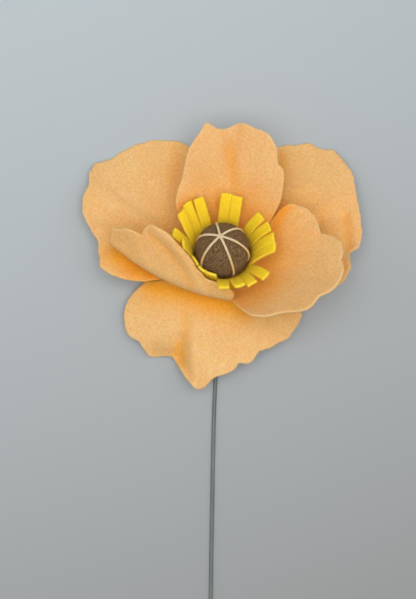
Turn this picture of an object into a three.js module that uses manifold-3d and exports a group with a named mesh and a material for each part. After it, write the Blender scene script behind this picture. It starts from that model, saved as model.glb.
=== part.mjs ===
// A handmade felt poppy lying on its back on a flat surface, as picked: six hand-cut felt
// petals in two layers, a slit felt strip wound round a felted wool ball as the stamens,
// cream thread wound over the ball, a small felt disc behind the petals and a bent wire stem.
//
// Millimetres, +Z up. The stem runs along -Y. The head has its own frame: origin at the
// ball's centre, Z out of the flower's face, X to the right. Azimuth is measured in that
// frame, in degrees, anticlockwise from X as seen from the front of the flower.

import * as THREE from 'three';
import { mergeVertices } from 'three/addons/utils/BufferGeometryUtils.js';
import Module from 'manifold-3d';

const wasm = await Module();
wasm.setup();

// ---------------------------------------------------------------- driving dimensions

const BALL_RADIUS = 14;
const BALL_HEIGHT = 26; // of the ball's centre above the surface
const BALL_SEGMENTS = [20, 12]; // round the ball, and from pole to pole
const HEAD_TILT = 24; // of the flower's axis from straight up, towards +Y

const PETAL_THICKNESS = 1.2;
const PETAL_ROOT_RADIUS = 4; // the petals' roots leave this clear round the wire
const PETAL_SEAT = 13; // reach over which a petal lies flat under the fringe
const SEAT_BEND = 9; // reach over which it turns from flat to its own slope
const SEAT_EASE = 4; // reach by which that turn starts before the seat's end
const INNER_LAYER = -17; // head heights of the two layers at their roots
const OUTER_LAYER = -18.6;
const PETAL_FLARE = 1.6; // how soon a petal opens from its root to its full fan
const PETAL_COLUMNS = 26;
const PETAL_ROWS = 10;
const PROFILE_STEPS = 24;

const FRINGE_THICKNESS = 1.5;
const FRINGE_RADIUS = 15.4; // of the strip's middle layer
const FRINGE_FOOT = -14.8;
const FRINGE_SLIT_START = -4.5;
const FINGER_LENGTH = 18.5;
const FINGER_TIP_WIDTH = 5;
const FINGER_CURL = 18; // it starts this much steeper than its mean slope, and ends as much flatter
const FINGER_STEEPEST = 86;
const FINGER_ROWS = 4;
const FINGER_HALF_BASE = 9.5; // degrees of the wound strip
const FINGER_WIDEST_PITCH = 25; // degrees between neighbours; past it a stretch of strip is bare
const SLIT_ANGLE = 1.4;
const SEAM_AZIMUTH = 104.5; // where the two ends of the strip meet
const SEAM_ANGLE = 2;

const THREAD_RADIUS = 0.7;
const THREAD_PATH_RADIUS = 13.9;
const THREAD_CLEARANCE = 0.3;
const THREAD_POLE = new THREE.Vector3(-0.083, 0.054, 0.995).normalize(); // where all strands cross
const THREAD_AZIMUTHS = [102, 40, -15, -66, -140, 160];
const THREAD_END_ANGLE = 163; // each strand runs from the pole nearly to its opposite
const THREAD_START_ANGLE = -5;
const THREAD_STEPS = 11;
const THREAD_SIDES = 6;
const FURROW_SIDES = 5;

const DISC_RADIUS = 11.5;
const DISC_THICKNESS = 1.2;
const DISC_TOP = -19.5;
const DISC_SIDES = 24;

const WIRE_RADIUS = 1;
const WIRE_HOLE_RADIUS = 1.3;
const WIRE_TOP = -6; // how far up into the ball the wire reaches
const WIRE_HOLE_TOP = -5.5;
const WIRE_STRAIGHT_END = -22;
const WIRE_BEND_RADIUS = 8;
const WIRE_BEND_STEPS = 5;
const WIRE_FLOOR_ROUTE = [[-0.6, -26], [-2, -48], [-3.8, -79], [-5, -130], [-5.8, -183], [-6.4, -238]];
const WIRE_STEPS = 76;
const WIRE_SIDES = 8;

const COLOURS = {
  petal: '#efb97a',
  fringe: '#efbc35',
  ball: '#5a3f28',
  thread: '#e6cda2',
  wire: '#6f7974',
};

// Each petal spreads like a fan from its root. azimuth is its centre line, spread half its
// angle, heel half the angle of its root. rise and tip are its slopes just past the seat and
// at its full length; liftLow and liftHigh add slope towards its low and high azimuth edges.
// A wave is [azimuth, width, height, reach where it starts]. The rim is the cut edge, as
// [azimuth, reach from the root]. A roll turns up what lies past a straight line: toward is
// the azimuth that the line faces, at its distance from the flower's axis. The line bows back
// from that distance by bow times the squared distance along it from bowCentre.
const PETALS = [
  {
    name: 'petal_inner_top', layer: INNER_LAYER,
    azimuth: 90, spread: 57, heel: 48, length: 74,
    rise: 58, tip: 46, liftLow: 0, liftHigh: -4,
    waves: [[84, 6, -3.5, 16], [112, 9, 1.5, 40], [62, 9, 1.5, 40]],
    rim: [
      [34, 34], [36, 41], [38, 47], [44, 55], [48, 60], [54, 62], [58, 68], [65, 72], [74, 74], [82, 76],
      [91, 72], [98, 75], [103, 70], [110, 64], [115, 57], [121, 50], [128, 45], [135, 39], [140, 26],
    ],
  },
  {
    name: 'petal_inner_left', layer: INNER_LAYER,
    azimuth: 215, spread: 65, heel: 48, length: 72,
    rise: 14, tip: 16, liftLow: 14, liftHigh: 0, rows: 14,
    roll: { toward: 249, at: 15.2, bow: 0.0035, bowCentre: -16, angle: 118, radius: 8 },
    waves: [],
    rim: [
      [150, 22], [153, 30], [158, 40], [166, 47.5], [173, 52.5], [180.5, 56.5], [189, 59.8],
      [195.8, 59.2], [202, 58.4], [207.5, 56], [213, 59.5], [218, 61.2], [224.6, 58.8], [228.8, 53.6],
      [235.3, 46.4], [238.6, 40.4], [242, 36.8], [246.6, 34.3], [253.8, 32.7], [263, 30.8], [272, 29],
      [276.5, 25], [277.5, 19],
    ],
  },
  {
    name: 'petal_inner_right', layer: INNER_LAYER,
    azimuth: 345, spread: 58, heel: 45, length: 72,
    rise: 42, tip: 32, liftLow: 2, liftHigh: 2,
    waves: [[365, 8, -1.5, 40], [330, 10, 1.5, 40]],
    rim: [
      [283, 22], [287, 34], [291, 42], [298, 48], [308, 53], [316, 62], [325, 63], [331, 68], [341, 69],
      [348, 66], [355, 66], [361, 62], [366, 55], [374, 54], [382, 53], [390, 49], [395, 46], [397, 41],
    ],
  },
  {
    name: 'petal_outer_left', layer: OUTER_LAYER,
    azimuth: 152, spread: 45, heel: 46, length: 80,
    rise: 13, tip: 13, liftLow: 10, liftHigh: 0,
    waves: [[150, 10, 2, 40], [172, 8, -2, 40]],
    rim: [
      [98, 34], [101, 52], [106, 63], [112, 69], [120, 74], [128, 77], [137, 79], [142, 82], [146, 82],
      [151, 78], [159, 76], [165, 70], [171, 63], [178, 61], [185, 59.5], [189, 55], [193, 47], [196, 38],
    ],
  },
  {
    name: 'petal_outer_right', layer: OUTER_LAYER,
    azimuth: 24, spread: 45, heel: 46, length: 80,
    rise: 19, tip: 13, liftLow: 5, liftHigh: 3,
    waves: [[6, 7, -3, 50], [30, 10, 2, 40]],
    rim: [
      [-22, 34], [-19, 58], [-10, 64], [0, 64], [3, 69], [8, 71], [14, 72.5], [22, 74.5], [30, 78],
      [37, 81], [44, 82], [48, 79], [54, 77], [60, 71], [65, 67], [71, 58], [75, 46], [76, 30],
    ],
  },
  {
    name: 'petal_outer_bottom', layer: OUTER_LAYER,
    azimuth: 261, spread: 60, heel: 50, length: 68,
    rise: -26, tip: -32, liftLow: 10, liftHigh: 5,
    waves: [[231, 9, -4, 36], [252, 9, 4, 30], [285, 10, 1.5, 36]],
    rim: [
      [190, 38], [198, 50], [205, 55], [213, 58], [220, 56], [228, 57], [237, 52], [244, 54], [252, 61],
      [259, 64], [266, 56], [275, 53], [281, 49], [287, 50], [295, 46], [306, 47], [316, 48], [327, 47],
      [332, 46],
    ],
  },
];

// The fringe's fingers in order along the strip: [azimuth at the root, azimuth of the tip,
// mean slope], and the length of those cut short where the rolled petal presses them to the ball.
const FINGERS = [
  [119.6, 116, 46], [138.5, 128, 40], [157.5, 141, 50], [176.5, 170, 59], [195.5, 186, 74, 16],
  [214, 211, 84, 10], [232.5, 232, 84, 9], [251, 250, 80, 10], [269.5, 271, 54], [288, 289, 54],
  [307, 302, 48], [325, 319, 44], [343, 352.5, 53], [363, 364, 55], [382, 378, 60],
  [400, 394, 63], [429.5, 433, 52], [449, 445, 50],
];

// ---------------------------------------------------------------- helpers

const degrees = THREE.MathUtils.degToRad;
const smooth = (x) => THREE.MathUtils.smoothstep(x, 0, 1);

/** A point of the head's frame, moved to the model's frame. */
function fromHead(point) {
  const tilt = degrees(HEAD_TILT);
  return point.clone()
    .applyAxisAngle(new THREE.Vector3(1, 0, 0), -tilt)
    .add(new THREE.Vector3(0, 0, BALL_HEIGHT));
}

/** Gives a sheet of quads its thickness: two faces split alike, and a wall round every edge. */
function thickSheet(points, quads, thickness) {
  const normals = points.map(() => new THREE.Vector3());
  for (const [a, b, c, d] of quads) {
    const normal = new THREE.Vector3().subVectors(points[c], points[a])
      .cross(new THREE.Vector3().subVectors(points[d], points[b]));
    for (const corner of [a, b, c, d]) {
      normals[corner].add(normal);
    }
  }
  const count = points.length;
  const positions = [];
  for (const side of [0.5, -0.5]) {
    points.forEach((point, index) => {
      const offset = normals[index].clone().normalize().multiplyScalar(side * thickness);
      positions.push(...point.clone().add(offset).toArray());
    });
  }
  const triangles = [];
  const edges = new Set();
  for (const [a, b, c, d] of quads) {
    triangles.push(a, b, c, a, c, d);
    triangles.push(a + count, c + count, b + count, a + count, d + count, c + count);
    for (const [from, to] of [[a, b], [b, c], [c, d], [d, a]]) {
      edges.add(`${from} ${to}`);
    }
  }
  for (const edge of edges) {
    const [from, to] = edge.split(' ').map(Number);
    if (!edges.has(`${to} ${from}`)) {
      triangles.push(to, from, from + count, to, from + count, to + count);
    }
  }
  const geometry = new THREE.BufferGeometry();
  geometry.setAttribute('position', new THREE.Float32BufferAttribute(positions, 3));
  geometry.setIndex(triangles);
  return geometry;
}

/** Reads a smooth curve through a list of points, at a place from 0 to 1 along the list. */
function alongList(list, place) {
  const last = list.length - 1;
  const index = Math.min(Math.floor(place * last), last - 1);
  const part = place * last - index;
  const at = (k) => list[THREE.MathUtils.clamp(k, 0, last)];
  return [0, 1].map((axis) => {
    const [p0, p1, p2, p3] = [-1, 0, 1, 2].map((step) => at(index + step)[axis]);
    return 0.5 * (2 * p1 + (p2 - p0) * part
      + (2 * p0 - 5 * p1 + 4 * p2 - p3) * part ** 2
      + (3 * p1 - p0 - 3 * p2 + p3) * part ** 3);
  });
}

function toSolid(geometry) {
  const bare = geometry.clone();
  bare.deleteAttribute('normal');
  bare.deleteAttribute('uv');
  const merged = mergeVertices(bare, 1e-4);
  return new wasm.Manifold(new wasm.Mesh({
    numProp: 3,
    vertProperties: new Float32Array(merged.attributes.position.array),
    triVerts: new Uint32Array(merged.index.array),
  }));
}

function fromSolid(solid) {
  const { vertProperties, triVerts } = solid.getMesh();
  const geometry = new THREE.BufferGeometry();
  geometry.setAttribute('position', new THREE.BufferAttribute(new Float32Array(vertProperties), 3));
  geometry.setIndex(new THREE.BufferAttribute(new Uint32Array(triVerts), 1));
  return geometry;
}

function material(colour, roughness, metalness = 0) {
  return new THREE.MeshStandardMaterial({ color: colour, roughness, metalness });
}

function piece(name, geometry, look) {
  const mesh = new THREE.Mesh(geometry, look);
  mesh.name = name;
  return mesh;
}

/** A round tube along a curve, closed at both ends. */
function tube(curve, radius, sides, steps) {
  const section = new THREE.Shape();
  for (let side = 0; side < sides; side += 1) {
    const angle = (2 * Math.PI * (side + 0.5)) / sides;
    const corner = [radius * Math.cos(angle), radius * Math.sin(angle)];
    if (side === 0) {
      section.moveTo(...corner);
    } else {
      section.lineTo(...corner);
    }
  }
  section.closePath();
  return new THREE.ExtrudeGeometry(section, { steps, extrudePath: curve, bevelEnabled: false });
}

// ---------------------------------------------------------------- petals

/** A petal's slope, in radians, at an azimuth and a reach from its root. */
function petalSlope(petal, azimuth, reach) {
  const across = (azimuth - petal.azimuth) / petal.spread;
  const lift = across > 0 ? petal.liftHigh : petal.liftLow;
  const along = Math.max((reach - PETAL_SEAT) / (petal.length - PETAL_SEAT), 0);
  const slope = petal.rise + (petal.tip - petal.rise) * along + lift * across ** 2;
  return degrees(slope * smooth((reach - PETAL_SEAT + SEAT_EASE) / SEAT_BEND));
}

/** How far out from the axis, and how high, a petal is at an azimuth and a reach. */
function petalProfile(petal, azimuth, reach) {
  const stride = reach / PROFILE_STEPS;
  let out = PETAL_ROOT_RADIUS;
  let height = petal.layer;
  for (let step = 0; step < PROFILE_STEPS; step += 1) {
    const slope = petalSlope(petal, azimuth, (step + 0.5) * stride);
    out += Math.cos(slope) * stride;
    height += Math.sin(slope) * stride;
  }
  for (const [centre, width, rise, start] of petal.waves) {
    const strength = smooth((reach - start) / (petal.length - start));
    height += rise * strength * Math.exp(-(((azimuth - centre) / width) ** 2));
  }
  return [out, height];
}

/** The middle of a petal's felt, in the head's frame. */
function petalPoint(petal, azimuth, reach) {
  const [out, height] = petalProfile(petal, azimuth, reach);
  const flat = new THREE.Vector2(out, 0).rotateAround(new THREE.Vector2(), degrees(azimuth));
  if (!petal.roll) {
    return new THREE.Vector3(flat.x, flat.y, height);
  }
  const { toward, at, bow, bowCentre, angle, radius } = petal.roll;
  const facing = new THREE.Vector2(1, 0).rotateAround(new THREE.Vector2(), degrees(toward));
  const beyond = flat.dot(facing) - at + bow * (flat.cross(facing) + bowCentre) ** 2;
  if (beyond <= 0) {
    return new THREE.Vector3(flat.x, flat.y, height);
  }
  const turn = Math.min(beyond / radius, degrees(angle));
  const rest = Math.max(beyond - radius * degrees(angle), 0);
  const foot = radius * Math.sin(turn) + rest * Math.cos(turn);
  const lift = radius * (1 - Math.cos(turn)) + rest * Math.sin(turn);
  flat.addScaledVector(facing, foot - beyond);
  const footAzimuth = THREE.MathUtils.radToDeg(THREE.MathUtils.euclideanModulo(flat.angle(), 2 * Math.PI));
  const footReach = Math.max((flat.length() - PETAL_ROOT_RADIUS) / Math.cos(degrees(petal.rise)), 0);
  const [, footHeight] = petalProfile(petal, footAzimuth, footReach);
  return new THREE.Vector3(flat.x, flat.y, footHeight + lift);
}

/** One petal as a thick sheet, pressed flat where it meets the surface. */
function petalGeometry(petal) {
  const points = [];
  const quads = [];
  const rows = petal.rows ?? PETAL_ROWS;
  for (let column = 0; column <= PETAL_COLUMNS; column += 1) {
    const across = column / PETAL_COLUMNS;
    const [rimAzimuth, rimReach] = alongList(petal.rim, across);
    const rootAzimuth = petal.azimuth + (2 * across - 1) * petal.heel;
    for (let row = 0; row <= rows; row += 1) {
      const along = row / rows;
      const flare = 1 - (1 - along) ** PETAL_FLARE;
      const azimuth = rootAzimuth + (rimAzimuth - rootAzimuth) * flare;
      const point = fromHead(petalPoint(petal, azimuth, along * rimReach));
      point.z = Math.max(point.z, PETAL_THICKNESS / 2);
      points.push(point);
    }
  }
  const stride = rows + 1;
  for (let column = 0; column < PETAL_COLUMNS; column += 1) {
    for (let row = 0; row < rows; row += 1) {
      const corner = column * stride + row;
      quads.push([corner, corner + 1, corner + 1 + stride, corner + stride]);
    }
  }
  const geometry = thickSheet(points, quads, PETAL_THICKNESS);
  const position = geometry.attributes.position;
  for (let index = 0; index < position.count; index += 1) {
    position.setZ(index, Math.max(position.getZ(index), 0));
  }
  return geometry;
}

// ---------------------------------------------------------------- fringe

/** The left and right edges of each finger at the strip, in degrees. */
function fingerEdges() {
  const middle = (a, b) => (b - a > FINGER_WIDEST_PITCH ? null : (a + b) / 2);
  return FINGERS.map(([azimuth], index) => {
    const before = index > 0 ? middle(FINGERS[index - 1][0], azimuth) : null;
    const after = index < FINGERS.length - 1 ? middle(azimuth, FINGERS[index + 1][0]) : null;
    return [
      before === null ? azimuth - FINGER_HALF_BASE : before + SLIT_ANGLE / 2,
      after === null ? azimuth + FINGER_HALF_BASE : after - SLIT_ANGLE / 2,
    ];
  });
}

/** The slit strip wound round the ball, with its fingers bent outwards. */
function fringeGeometry() {
  const points = [];
  const quads = [];
  const bandHeights = [FRINGE_FOOT, (FRINGE_FOOT + FRINGE_SLIT_START) / 2, FRINGE_SLIT_START];
  const place = (azimuth, out, height) => {
    const angle = degrees(azimuth);
    points.push(new THREE.Vector3(out * Math.cos(angle), out * Math.sin(angle), height));
    return points.length - 1;
  };
  const bandColumn = (azimuth) => bandHeights.map((height) => place(azimuth, FRINGE_RADIUS, height));
  const join = (left, right) => {
    for (let row = 0; row + 1 < Math.min(left.length, right.length); row += 1) {
      quads.push([left[row], right[row], right[row + 1], left[row + 1]]);
    }
  };
  const fingerColumn = (baseAzimuth, tipAzimuth, slope, length, band) => {
    const start = Math.min(slope + FINGER_CURL, FINGER_STEEPEST);
    const end = 2 * slope - start;
    const step = length / FINGER_ROWS;
    let out = FRINGE_RADIUS;
    let height = FRINGE_SLIT_START;
    for (let row = 1; row <= FINGER_ROWS; row += 1) {
      const angle = degrees(start + ((end - start) * (row - 0.5)) / FINGER_ROWS);
      out += step * Math.cos(angle);
      height += step * Math.sin(angle);
      band.push(place(baseAzimuth + ((tipAzimuth - baseAzimuth) * row) / FINGER_ROWS, out, height));
    }
    return band;
  };
  let previous = bandColumn(SEAM_AZIMUTH + SEAM_ANGLE / 2);
  fingerEdges().forEach(([leftEdge, rightEdge], index) => {
    const [, tip, slope, length = FINGER_LENGTH] = FINGERS[index];
    const tipRadius = FRINGE_RADIUS + length * Math.cos(degrees(slope));
    const halfTip = THREE.MathUtils.radToDeg(FINGER_TIP_WIDTH / 2 / tipRadius);
    const left = fingerColumn(leftEdge, tip - halfTip, slope, length, bandColumn(leftEdge));
    const right = fingerColumn(rightEdge, tip + halfTip, slope, length, bandColumn(rightEdge));
    join(previous.slice(0, bandHeights.length), left.slice(0, bandHeights.length));
    join(left, right);
    previous = right;
  });
  join(previous.slice(0, bandHeights.length), bandColumn(SEAM_AZIMUTH + 360 - SEAM_ANGLE / 2));
  return thickSheet(points, quads, FRINGE_THICKNESS);
}

// ---------------------------------------------------------------- ball and thread

/** One strand's route: half a turn round the ball from the pole, at an azimuth about it. */
function strandCurve(azimuth) {
  const sideways = new THREE.Vector3(0, 1, 0).cross(THREAD_POLE).normalize();
  const upwards = THREAD_POLE.clone().cross(sideways);
  const heading = sideways.multiplyScalar(Math.cos(degrees(azimuth)))
    .addScaledVector(upwards, Math.sin(degrees(azimuth)));
  const points = [];
  for (let step = 0; step <= THREAD_STEPS; step += 1) {
    const angle = degrees(
      THREAD_START_ANGLE + ((THREAD_END_ANGLE - THREAD_START_ANGLE) * step) / THREAD_STEPS,
    );
    points.push(THREAD_POLE.clone().multiplyScalar(Math.cos(angle) * THREAD_PATH_RADIUS)
      .addScaledVector(heading, Math.sin(angle) * THREAD_PATH_RADIUS));
  }
  return new THREE.CatmullRomCurve3(points);
}

function strandsSolid(radius, sides) {
  return THREAD_AZIMUTHS
    .map((azimuth) => toSolid(tube(strandCurve(azimuth), radius, sides, THREAD_STEPS)))
    .reduce((whole, strand) => whole.add(strand));
}

/** The wool ball, with a furrow under each strand and a blind hole for the wire. */
function ballGeometry() {
  const sphere = new THREE.SphereGeometry(BALL_RADIUS, ...BALL_SEGMENTS).rotateX(Math.PI / 2);
  const furrows = strandsSolid(THREAD_RADIUS + THREAD_CLEARANCE, FURROW_SIDES);
  const depth = BALL_RADIUS + WIRE_HOLE_TOP + WIRE_RADIUS;
  const hole = new THREE.CylinderGeometry(WIRE_HOLE_RADIUS, WIRE_HOLE_RADIUS, depth, WIRE_SIDES)
    .rotateX(Math.PI / 2)
    .translate(0, 0, WIRE_HOLE_TOP - depth / 2);
  return fromSolid(toSolid(sphere).subtract(furrows).subtract(toSolid(hole)));
}

// ---------------------------------------------------------------- disc and wire

/** The felt disc behind the petals, with a hole for the wire. */
function discGeometry() {
  const low = DISC_TOP - DISC_THICKNESS;
  const profile = [
    [WIRE_HOLE_RADIUS, low], [DISC_RADIUS, low], [DISC_RADIUS, DISC_TOP],
    [WIRE_HOLE_RADIUS, DISC_TOP], [WIRE_HOLE_RADIUS, low],
  ].map(([out, height]) => new THREE.Vector2(out, height));
  return new THREE.LatheGeometry(profile, DISC_SIDES).rotateX(Math.PI / 2);
}

/** The stem wire: down through the head, round one bend and along the surface. */
function wireGeometry() {
  const points = [WIRE_TOP, -11, -16, WIRE_STRAIGHT_END]
    .map((height) => fromHead(new THREE.Vector3(0, 0, height)));
  const start = points[points.length - 1];
  const first = degrees(90 - HEAD_TILT); // the wire's dip below level as the bend starts
  const bendDrop = WIRE_BEND_RADIUS * (1 - Math.cos(first));
  const straightDrop = start.z - WIRE_RADIUS - bendDrop;
  const bendStart = new THREE.Vector3(0, start.y - straightDrop / Math.tan(first), start.z - straightDrop);
  for (let step = 0; step <= WIRE_BEND_STEPS; step += 1) {
    const dip = first * (1 - step / WIRE_BEND_STEPS);
    points.push(new THREE.Vector3(
      0,
      bendStart.y - WIRE_BEND_RADIUS * (Math.sin(first) - Math.sin(dip)),
      WIRE_RADIUS + WIRE_BEND_RADIUS * (1 - Math.cos(dip)),
    ));
  }
  for (const [x, y] of WIRE_FLOOR_ROUTE) {
    points.push(new THREE.Vector3(x, y, WIRE_RADIUS));
  }
  return tube(new THREE.CatmullRomCurve3(points, false, 'centripetal'), WIRE_RADIUS, WIRE_SIDES, WIRE_STEPS);
}

// ---------------------------------------------------------------- assembly

const head = new THREE.Group();
head.rotation.x = degrees(-HEAD_TILT);
head.position.z = BALL_HEIGHT;
head.add(piece('ball', ballGeometry(), material(COLOURS.ball, 0.95)));
const strands = fromSolid(strandsSolid(THREAD_RADIUS, THREAD_SIDES));
head.add(piece('thread_wrap', strands, material(COLOURS.thread, 0.8)));
head.add(piece('fringe', fringeGeometry(), material(COLOURS.fringe, 0.95)));
head.add(piece('backing_disc', discGeometry(), material(COLOURS.petal, 0.95)));

const flower = new THREE.Group();
flower.add(head);
for (const petal of PETALS) {
  flower.add(piece(petal.name, petalGeometry(petal), material(COLOURS.petal, 0.95)));
}
flower.add(piece('stem', wireGeometry(), material(COLOURS.wire, 0.55, 0.3)));

// The origin is the middle of the whole flower's box, on the surface it lies on.
const box = new THREE.Box3().setFromObject(flower, true);
const middle = box.getCenter(new THREE.Vector3());
flower.position.set(-middle.x, -middle.y, -box.min.z);
flower.updateMatrixWorld(true);

export default flower;
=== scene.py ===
"""The looks of a handmade felt poppy lying on its back: felt petals, a slit felt fringe, a
felted wool ball wound with thread, a felt disc behind them and a coated wire stem.

Sizes in the sections are millimetres, in the head's frame unless they say otherwise: its
origin is the ball's centre, Z points out of the flower's face, and azimuth is measured in
degrees, anticlockwise from X as seen from the front.
"""

import math

import bpy
import numpy as np
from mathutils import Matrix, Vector, noise
from mathutils.bvhtree import BVHTree


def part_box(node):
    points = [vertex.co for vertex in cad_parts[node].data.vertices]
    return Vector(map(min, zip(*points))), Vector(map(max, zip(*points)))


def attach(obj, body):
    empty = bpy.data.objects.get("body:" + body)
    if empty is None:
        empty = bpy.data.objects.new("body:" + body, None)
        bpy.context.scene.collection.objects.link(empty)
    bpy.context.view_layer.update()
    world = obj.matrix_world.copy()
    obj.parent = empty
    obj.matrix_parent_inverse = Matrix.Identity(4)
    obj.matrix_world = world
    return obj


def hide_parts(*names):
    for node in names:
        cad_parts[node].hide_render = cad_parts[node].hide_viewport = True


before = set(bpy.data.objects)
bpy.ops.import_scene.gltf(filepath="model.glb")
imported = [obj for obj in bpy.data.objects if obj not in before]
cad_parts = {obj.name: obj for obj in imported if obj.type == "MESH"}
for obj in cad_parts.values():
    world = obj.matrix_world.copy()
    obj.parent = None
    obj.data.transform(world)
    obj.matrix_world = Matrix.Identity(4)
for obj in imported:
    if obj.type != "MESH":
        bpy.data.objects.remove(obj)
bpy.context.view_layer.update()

# ------------------------------------------------------------------ the place of the head
# The wool ball's centre is the head's origin. The head is tipped back from straight up, so
# that the flower faces up and slightly towards its own stem's far side.

MM = 0.001
HEAD_TILT = math.radians(24)
ball_low, ball_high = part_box("ball")
HEAD_CENTRE = np.array((ball_low + ball_high) / 2) / MM


def from_head(points):
    """Points of the head's frame, in the object's frame, in millimetres."""
    x, y, z = np.moveaxis(np.asarray(points, float), -1, 0)
    turned = [x, y * math.cos(HEAD_TILT) + z * math.sin(HEAD_TILT),
              z * math.cos(HEAD_TILT) - y * math.sin(HEAD_TILT)]
    return np.stack(turned, -1) + HEAD_CENTRE


# ------------------------------------------------------------------ camera, light and floor
# The camera looks straight down on the flower. A wide soft light hangs over it, two weak ones
# stand at its sides, and a dim sky fills the shade. The floor is pale grey with a painted
# fall-off of light across it: lighter and cooler on one side, darker on the other.

CAMERA_FROM_HEAD = Vector((-7.3, -25.2, 520)) * MM
FRAME_HEIGHT = 599  # pixels
FOCAL_PIXELS = 1020
SENSOR = 36

camera = bpy.data.objects.new("camera", bpy.data.cameras.new("camera"))
camera.data.sensor_fit = "VERTICAL"
camera.data.sensor_height = SENSOR
camera.data.lens = SENSOR * FOCAL_PIXELS / FRAME_HEIGHT
camera.location = Vector(HEAD_CENTRE * MM) + CAMERA_FROM_HEAD
bpy.context.scene.collection.objects.link(camera)
bpy.context.scene.camera = camera
bpy.context.scene.view_settings.view_transform = "Standard"


def area_light(name, place, width, power):
    """A soft square light that faces the flower."""
    lamp = bpy.data.objects.new(name, bpy.data.lights.new(name, "AREA"))
    lamp.data.size = width
    lamp.data.energy = power
    lamp.location = place
    towards = Vector((0, 0.06, 0)) - Vector(place)
    lamp.rotation_euler = towards.to_track_quat("-Z", "Y").to_euler()
    bpy.context.scene.collection.objects.link(lamp)


area_light("overhead_light", (0, 0.06, 1.0), 0.8, 7.8)
area_light("left_light", (-0.65, 0.05, 0.7), 0.5, 0.6)
area_light("right_light", (0.6, 0.15, 0.75), 0.5, 0.8)

sky = bpy.data.worlds.new("sky")
sky.use_nodes = True
sky.node_tree.nodes["Background"].inputs["Color"].default_value = (0.96, 0.98, 1.0, 1)
sky.node_tree.nodes["Background"].inputs["Strength"].default_value = 0.3
bpy.context.scene.world = sky


def feed(tree, socket, value):
    """Links an input to a socket, or sets it to a value."""
    if isinstance(value, bpy.types.NodeSocket):
        tree.links.new(value, socket)
    else:
        socket.default_value = value


def add_node(tree, kind, **inputs):
    """A new node with its named inputs fed."""
    node = tree.nodes.new(kind)
    for name, value in inputs.items():
        feed(tree, node.inputs[name.replace("_", " ")], value)
    return node


def mixed(tree, factor, first, second, blend="MIX"):
    """Two colours mixed by a factor."""
    node = tree.nodes.new("ShaderNodeMix")
    node.data_type = "RGBA"
    node.blend_type = blend
    for place, value in (("Factor", factor), (6, first), (7, second)):
        feed(tree, node.inputs[place], value)
    return node.outputs[2]


def new_material(name):
    """A material with its tree, its Principled shader and the place of each point."""
    made = bpy.data.materials.new(name)
    made.use_nodes = True
    tree = made.node_tree
    place = tree.nodes.new("ShaderNodeTexCoord").outputs["Object"]
    return made, tree, tree.nodes["Principled BSDF"].inputs, place


def mesh_object(name, points, faces, material, smooth=True):
    """An object whose mesh has these points, in millimetres, and these faces."""
    mesh = bpy.data.meshes.new(name)
    mesh.from_pydata((np.asarray(points) * MM).tolist(), [], [tuple(face) for face in faces])
    mesh.validate()
    mesh.polygons.foreach_set("use_smooth", [smooth] * len(mesh.polygons))
    mesh.materials.append(material)
    made = bpy.data.objects.new(name, mesh)
    bpy.context.scene.collection.objects.link(made)
    return made


FLOOR_HALF = 3000
# The floor's painted fall-off of light starts here and runs at this turn across the floor.
FLOOR_PAINTED_LIGHT_START = (0.333, 0, 0)
FLOOR_PAINTED_LIGHT_TURN = -111
FLOOR_PAINTED_LIGHT_SCALE = 2.81  # the fade's whole length goes into a metre this many times


def floor_material():
    """Grey with a painted fall-off of light: lighter and cooler on one side of the floor, darker on the
    other.
    """
    made, tree, shader, place = new_material("pale_floor")
    painted_falloff = add_node(tree, "ShaderNodeMapping", Vector=place, Location=FLOOR_PAINTED_LIGHT_START,
                    Rotation=(0, 0, math.radians(FLOOR_PAINTED_LIGHT_TURN)), Scale=(FLOOR_PAINTED_LIGHT_SCALE,) * 3)
    ramp = add_node(tree, "ShaderNodeTexGradient", Vector=painted_falloff.outputs["Vector"])
    feed(tree, shader["Base Color"], mixed(tree, ramp.outputs["Fac"], (0.31, 0.315, 0.315, 1),
                                           (0.5, 0.548, 0.57, 1)))
    shader["Roughness"].default_value = 0.9
    return made


floor = mesh_object("floor", [(x * FLOOR_HALF, y * FLOOR_HALF, 0)
                              for x, y in ((-1, -1), (1, -1), (1, 1), (-1, 1))],
                    [(0, 1, 2, 3)], floor_material(), smooth=False)

# ------------------------------------------------------------------ wool felt
# Felt is a mat of crimped wool fibres with no weave: a mottled colour, a short loose pile,
# paler broken fibres at a cut edge, and a haze of loose fibres that stands off the surface.


def node_group(kind, name, inputs, outputs):
    """A node tree with these sockets, as {name: kind}, what it is given and where it ends."""
    tree = bpy.data.node_groups.new(name, kind + "NodeTree")
    for way, sockets in (("INPUT", inputs), ("OUTPUT", outputs)):
        for socket, sort in sockets.items():
            tree.interface.new_socket(socket, in_out=way, socket_type="NodeSocket" + sort)
    return tree, tree.nodes.new("NodeGroupInput").outputs, tree.nodes.new("NodeGroupOutput").inputs


def noise_node(tree, vector, scale, detail):
    """Plain noise, scale to a metre."""
    node = add_node(tree, "ShaderNodeTexNoise", Vector=vector, Scale=scale, Detail=detail)
    return node.outputs["Fac"]


def stretched_noise(tree, vector, turn, scale, stretch):
    """Noise drawn out into short strands that run one way."""
    mapping = add_node(tree, "ShaderNodeMapping", Vector=vector, Rotation=turn,
                       Scale=(scale, scale / stretch, scale))
    return noise_node(tree, mapping.outputs["Vector"], 1, 1)


def math_node(tree, operation, *values):
    """The output of one Math node."""
    node = tree.nodes.new("ShaderNodeMath")
    node.operation = operation
    for socket, value in zip(node.inputs, values):
        feed(tree, socket, value)
    return node.outputs["Value"]


def ranged(tree, value, low, high):
    """A value stretched so that low becomes 0 and high becomes 1, clamped."""
    node = add_node(tree, "ShaderNodeMapRange", Value=value, From_Min=low, From_Max=high)
    return node.outputs["Result"]


def tinted(tree, factor, face, tint):
    """A colour multiplied by a tint, as far as the factor says."""
    return mixed(tree, factor, face, (*tint, 1), "MULTIPLY")


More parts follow.
